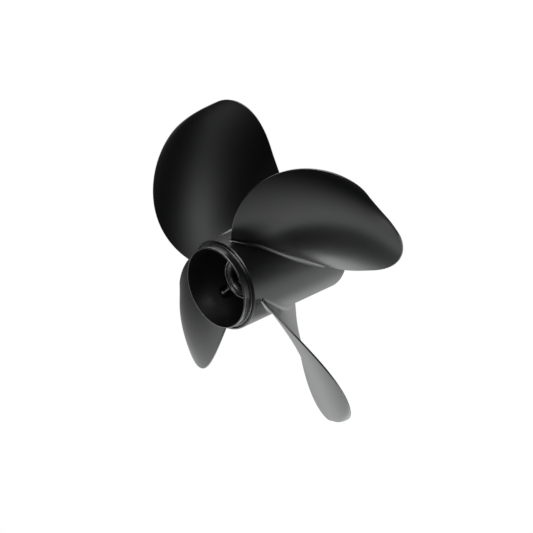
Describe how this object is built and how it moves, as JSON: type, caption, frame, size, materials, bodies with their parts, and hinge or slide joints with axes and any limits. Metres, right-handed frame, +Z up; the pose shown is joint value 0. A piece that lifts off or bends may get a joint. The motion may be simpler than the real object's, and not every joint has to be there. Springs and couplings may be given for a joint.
{
  "type": "four-blade boat propeller",
  "caption": "Black boat propeller with broad twisted blades on a long hollow barrel, a stepped front lip, and a ribbed inner hub with a rubber bush and splined sleeve.",
  "frame": {"origin": "on the shaft axis, in the plane of the splined sleeve's front face, where the thrust washer bears", "axes": "+Y along the shaft from the front (gearcase) end to the rear end, +Z up, +X to the right of someone looking along +Y; blade_1 points to +X and +Z, half way between them"},
  "size_m": [0.3196, 0.145, 0.3196],
  "materials": {
    "barrel_coating": "satin black coating on cast aluminium",
    "inner_hub_coating": "satin black coating on cast aluminium",
    "rib_coating": "satin black coating on cast aluminium",
    "blade_coating": "satin black coating on cast aluminium",
    "bush_rubber": "matte black rubber",
    "sleeve_metal": "dark machined steel"
  },
  "bodies": {
    "root": {"hub_barrel": "barrel_coating", "inner_hub": "inner_hub_coating", "rib_1": "rib_coating", "rib_2": "rib_coating", "rib_3": "rib_coating", "rib_4": "rib_coating", "rubber_bush": "bush_rubber", "splined_sleeve": "sleeve_metal", "blade_1": "blade_coating", "blade_2": "blade_coating", "blade_3": "blade_coating", "blade_4": "blade_coating"}
  },
  "joints": []
}
